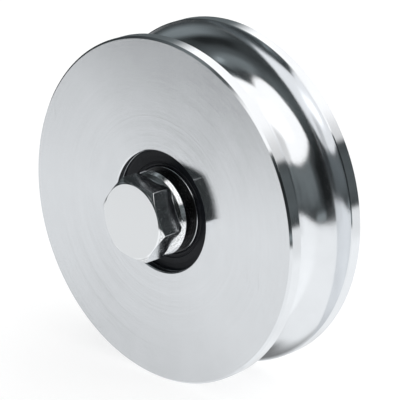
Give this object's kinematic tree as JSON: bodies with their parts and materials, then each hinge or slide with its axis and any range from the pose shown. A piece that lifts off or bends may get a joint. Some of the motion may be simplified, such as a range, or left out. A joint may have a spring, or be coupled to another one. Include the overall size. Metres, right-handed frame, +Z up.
{
  "type": "sliding gate wheel",
  "caption": "Round-grooved steel wheel for a sliding gate, turning on sealed ball bearings round a hexagon-headed axle bolt with bush, washers and nut.",
  "frame": {"origin": "centre of the wheel, on its axis and midway between its two faces", "axes": "+Y along the wheel's axis from the bolt's head to its threaded end, +Z up, the gate travels along X"},
  "size_m": [0.098, 0.0713, 0.098],
  "materials": {
    "turned_steel": "fine turned, bright zinc plated",
    "bearing_steel": "ground",
    "ball_steel": "polished",
    "pressed_steel": "pressed sheet, satin",
    "insert_steel": "pressed sheet, matt",
    "black_rubber": "moulded, satin",
    "bolt_steel": "bright zinc plated",
    "bush_steel": "turned, zinc plated",
    "zinc_steel": "zinc plated"
  },
  "bodies": {
    "axle": {"axle_bolt": "bolt_steel", "distance_bush": "bush_steel", "front_bearing_inner_ring": "bearing_steel", "hex_nut": "zinc_steel", "plain_washer": "zinc_steel", "rear_bearing_inner_ring": "bearing_steel", "spring_washer": "zinc_steel"},
    "wheel": {"front_bearing_back_seal": "black_rubber", "front_bearing_back_seal_insert": "insert_steel", "front_bearing_face_seal": "black_rubber", "front_bearing_face_seal_insert": "insert_steel", "front_bearing_outer_ring": "bearing_steel", "rear_bearing_back_seal": "black_rubber", "rear_bearing_back_seal_insert": "insert_steel", "rear_bearing_face_seal": "black_rubber", "rear_bearing_face_seal_insert": "insert_steel", "rear_bearing_outer_ring": "bearing_steel", "wheel_body": "turned_steel"},
    "front_ball_set": {"front_bearing_ball_1": "ball_steel", "front_bearing_ball_2": "ball_steel", "front_bearing_ball_3": "ball_steel", "front_bearing_ball_4": "ball_steel", "front_bearing_ball_5": "ball_steel", "front_bearing_ball_6": "ball_steel", "front_bearing_ball_7": "ball_steel", "front_bearing_ball_8": "ball_steel", "front_bearing_cage_left_half": "pressed_steel", "front_bearing_cage_right_half": "pressed_steel", "front_bearing_cage_rivets": "pressed_steel"},
    "rear_ball_set": {"rear_bearing_ball_1": "ball_steel", "rear_bearing_ball_2": "ball_steel", "rear_bearing_ball_3": "ball_steel", "rear_bearing_ball_4": "ball_steel", "rear_bearing_ball_5": "ball_steel", "rear_bearing_ball_6": "ball_steel", "rear_bearing_ball_7": "ball_steel", "rear_bearing_ball_8": "ball_steel", "rear_bearing_cage_left_half": "pressed_steel", "rear_bearing_cage_right_half": "pressed_steel", "rear_bearing_cage_rivets": "pressed_steel"}
  },
  "joints": [
    {"name": "wheel_spin", "type": "hinge", "parent": "axle", "child": "wheel", "pos_m": [0, 0, 0], "axis": [0, 1, 0], "continuous": true},
    {"name": "front_balls_roll", "type": "hinge", "parent": "axle", "child": "front_ball_set", "pos_m": [0, -0.006, 0], "axis": [0, 1, 0], "continuous": true},
    {"name": "rear_balls_roll", "type": "hinge", "parent": "axle", "child": "rear_ball_set", "pos_m": [0, 0.006, 0], "axis": [0, 1, 0], "continuous": true}
  ],
  "couplings": [
    {"joint": "front_balls_roll", "follows": "wheel_spin", "ratio": 0.61837},
    {"joint": "rear_balls_roll", "follows": "wheel_spin", "ratio": 0.61837}
  ]
}
